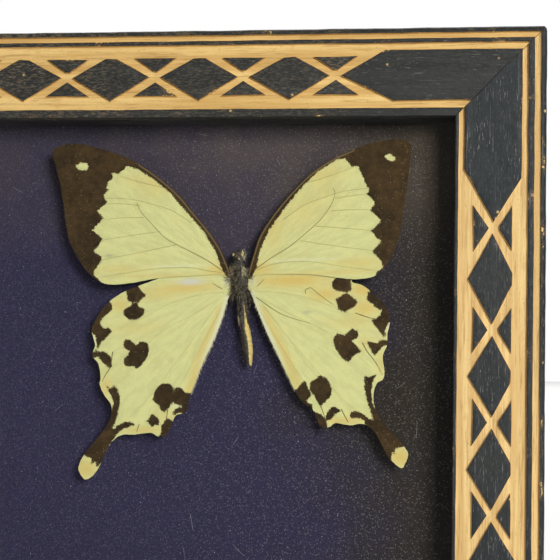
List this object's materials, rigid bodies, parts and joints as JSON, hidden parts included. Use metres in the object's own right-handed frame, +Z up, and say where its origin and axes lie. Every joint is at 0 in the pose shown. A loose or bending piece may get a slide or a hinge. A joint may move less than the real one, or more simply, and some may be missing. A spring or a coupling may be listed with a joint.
{
  "type": "framed butterfly specimen",
  "caption": "Pinned swallowtail butterfly with spread wings, behind glass in a small black wooden box frame carved with a lattice.",
  "frame": {"origin": "Under the middle of the frame, on the surface that its bottom edge rests on, half way through its depth.", "axes": "+X to the right seen from the front, +Y from the front to the back, +Z up. The glass faces -Y."},
  "size_m": [0.194, 0.024, 0.17],
  "materials": {
    "painted_wood": "satin",
    "glass": "polished",
    "fillet_paint": "matte",
    "ground_paper": "matte",
    "cork": "matte",
    "hardboard": "matte",
    "brass": "satin",
    "steel": "satin",
    "wing": "matte",
    "insect_body": "matte"
  },
  "bodies": {
    "root": {"rail_top": "painted_wood", "rail_bottom": "painted_wood", "rail_left": "painted_wood", "rail_right": "painted_wood", "glass_pane": "glass", "fillet_top": "fillet_paint", "fillet_bottom": "fillet_paint", "fillet_left": "fillet_paint", "fillet_right": "fillet_paint", "ground_paper": "ground_paper", "pinning_board": "cork", "back_board": "hardboard", "brad_top_1": "steel", "brad_top_2": "steel", "brad_bottom_1": "steel", "brad_bottom_2": "steel", "brad_left_1": "steel", "brad_left_2": "steel", "brad_right_1": "steel", "brad_right_2": "steel", "hanger_plate": "brass", "hanger_ring": "steel", "hanger_screw_1": "steel", "hanger_screw_2": "steel", "butterfly_body": "insect_body", "forewing_left": "wing", "forewing_right": "wing", "hindwing_left": "wing", "hindwing_right": "wing", "mounting_pin": "steel"}
  },
  "joints": []
}
